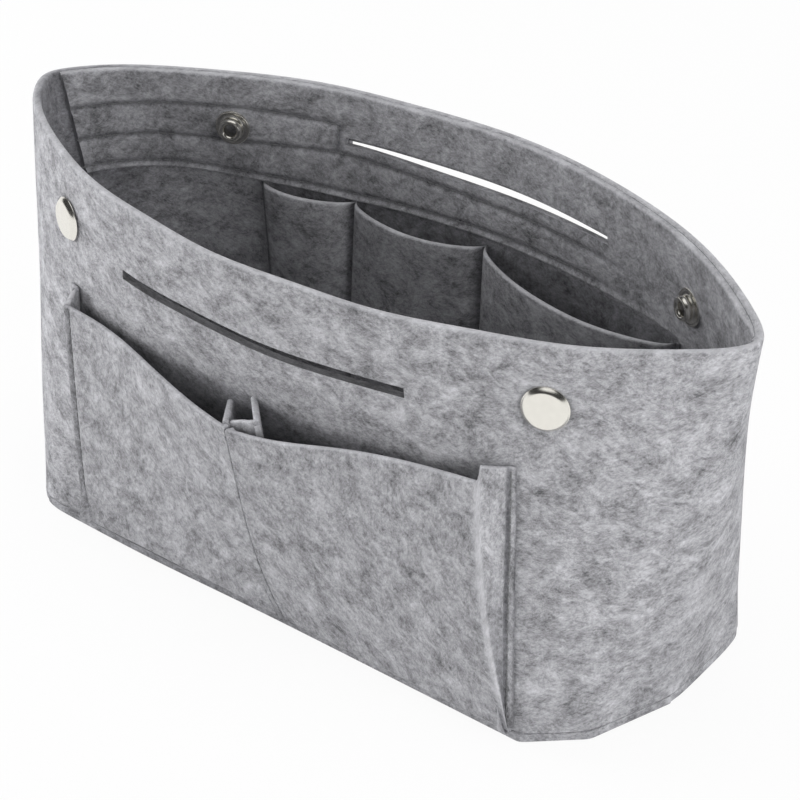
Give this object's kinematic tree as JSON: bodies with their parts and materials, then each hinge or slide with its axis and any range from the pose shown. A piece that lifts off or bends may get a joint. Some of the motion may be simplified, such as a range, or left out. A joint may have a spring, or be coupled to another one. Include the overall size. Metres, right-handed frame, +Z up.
{
  "type": "purse organizer insert",
  "caption": "Felt insert that stands in a handbag, with a lens-shaped rim, an expanding outer pocket, sewn inner bays, hand slits and metal snaps.",
  "frame": {"origin": "on the floor under the middle of the whole box, from the outer pocket's folds to the back of the rim", "axes": "+X to the right along the long walls, +Y from the front wall with the outer pocket to the back wall, +Z up"},
  "size_m": [0.303, 0.137, 0.148],
  "materials": {
    "felt_grey": "heathered grey wool felt, matte",
    "felt_shade": "heathered grey wool felt, matte, a little darker",
    "nickel": "polished warm nickel plate"
  },
  "bodies": {
    "base": {"base_panel": "felt_shade", "front_left_end": "felt_grey", "front_right_end": "felt_grey", "back_left_end": "felt_grey", "back_right_end": "felt_grey", "back_facing_left": "felt_shade", "back_facing_right": "felt_shade"},
    "front": {"front_wall": "felt_grey", "pocket_pleat": "felt_grey", "pocket_gusset_left": "felt_grey", "pocket_gusset_right": "felt_grey", "front_cap_left": "nickel", "front_cap_right": "nickel", "socket_left": "nickel", "socket_right": "nickel"},
    "back": {"back_wall": "felt_grey", "back_facing": "felt_shade", "inner_bay_1": "felt_shade", "inner_bay_2": "felt_shade", "inner_bay_3": "felt_shade", "back_cap_left": "nickel", "back_cap_right": "nickel", "stud_left": "nickel", "stud_right": "nickel"},
    "leaf_left": {"pocket_left": "felt_grey"},
    "leaf_right": {"pocket_right": "felt_grey"}
  },
  "joints": [
    {"name": "front_lean", "type": "hinge", "parent": "base", "child": "front", "pos_m": [0, -0.0365, 0.0033], "axis": [-1, 0, 0], "range_deg": [0, 12.5], "stiffness_Nm_per_rad": 0.3, "deforming": ["front_left_end", "front_right_end"]},
    {"name": "back_lean", "type": "hinge", "parent": "base", "child": "back", "pos_m": [0, 0.0555, 0.0033], "axis": [1, 0, 0], "range_deg": [0, 12.5], "stiffness_Nm_per_rad": 0.3, "deforming": ["back_left_end", "back_right_end", "back_facing_left", "back_facing_right"]},
    {"name": "pocket_left_swing", "type": "hinge", "parent": "front", "child": "leaf_left", "pos_m": [-0.05, -0.0398, 0.0033], "axis": [1, 0, 0], "range_deg": [-2.5, 10], "stiffness_Nm_per_rad": 0.2, "deforming": ["pocket_gusset_left", "pocket_pleat"]},
    {"name": "pocket_right_swing", "type": "hinge", "parent": "front", "child": "leaf_right", "pos_m": [0.05, -0.0398, 0.0033], "axis": [1, 0, 0], "range_deg": [-2.5, 10], "stiffness_Nm_per_rad": 0.2, "deforming": ["pocket_gusset_right", "pocket_pleat"]}
  ],
  "couplings": [
    {"joint": "back_lean", "follows": "front_lean", "ratio": 1}
  ]
}
